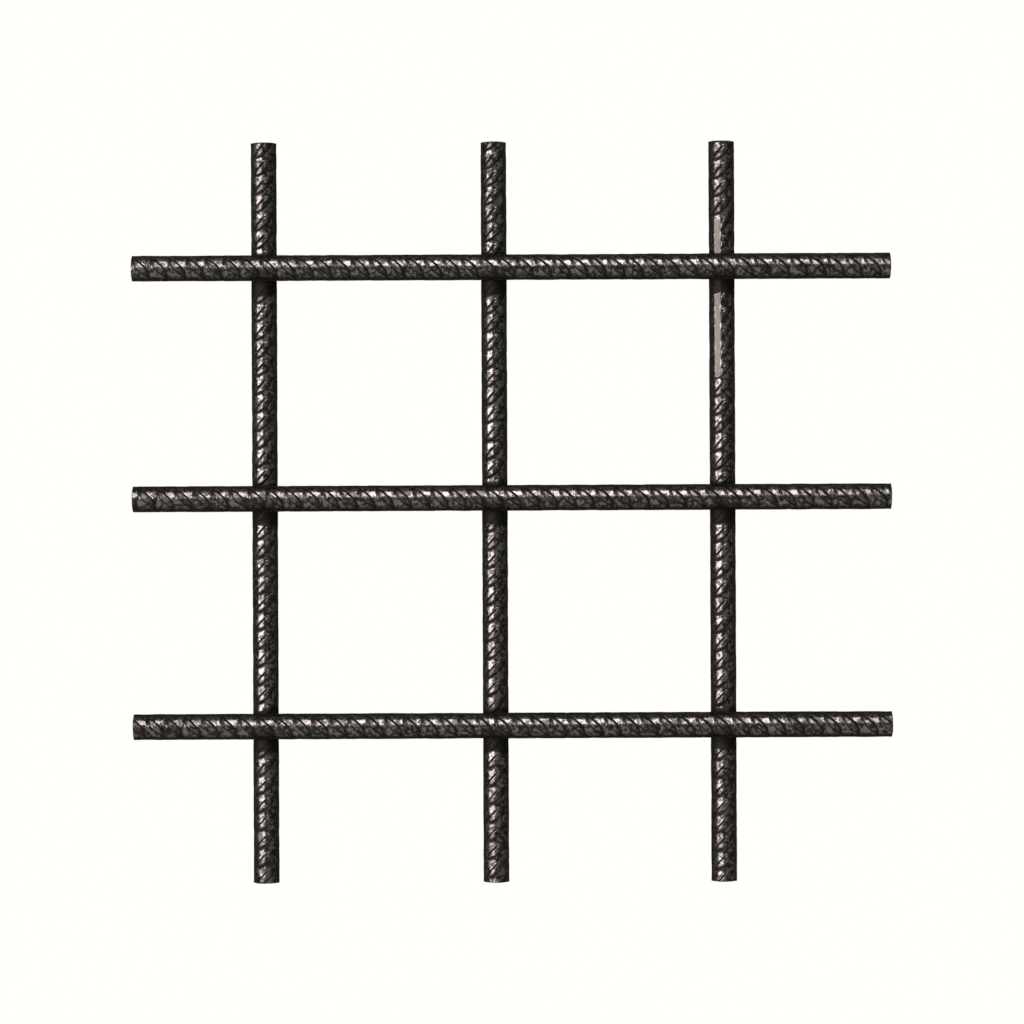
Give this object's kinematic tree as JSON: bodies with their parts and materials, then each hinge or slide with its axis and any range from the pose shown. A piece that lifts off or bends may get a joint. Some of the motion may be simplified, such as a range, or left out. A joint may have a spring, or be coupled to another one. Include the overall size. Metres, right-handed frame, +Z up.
{
  "type": "window security bar grille",
  "caption": "Welded window security grille of round ribbed steel bars: uprights behind level crossbars, open square cells between, plain square-cut ends.",
  "frame": {"origin": "middle of the middle upright's foot face", "axes": "+Z up along the uprights, +X right along the crossbars, the front with the crossbars towards -Y"},
  "size_m": [0.3629, 0.0252, 0.3562],
  "materials": {
    "bar_steel": "semi-gloss near-black paint over ribbed hot-rolled steel, worn to bare steel on some crests",
    "weld_metal": "rippled weld bead under the same paint"
  },
  "bodies": {
    "root": {"upright_left": "bar_steel", "upright_middle": "bar_steel", "upright_right": "bar_steel", "crossbar_top": "bar_steel", "crossbar_middle": "bar_steel", "crossbar_bottom": "bar_steel", "weld_top_left_bead_left": "weld_metal", "weld_top_left_bead_right": "weld_metal", "weld_top_middle_bead_left": "weld_metal", "weld_top_middle_bead_right": "weld_metal", "weld_top_right_bead_left": "weld_metal", "weld_top_right_bead_right": "weld_metal", "weld_middle_left_bead_left": "weld_metal", "weld_middle_left_bead_right": "weld_metal", "weld_middle_middle_bead_left": "weld_metal", "weld_middle_middle_bead_right": "weld_metal", "weld_middle_right_bead_left": "weld_metal", "weld_middle_right_bead_right": "weld_metal", "weld_bottom_left_bead_left": "weld_metal", "weld_bottom_left_bead_right": "weld_metal", "weld_bottom_middle_bead_left": "weld_metal", "weld_bottom_middle_bead_right": "weld_metal", "weld_bottom_right_bead_left": "weld_metal", "weld_bottom_right_bead_right": "weld_metal"}
  },
  "joints": []
}
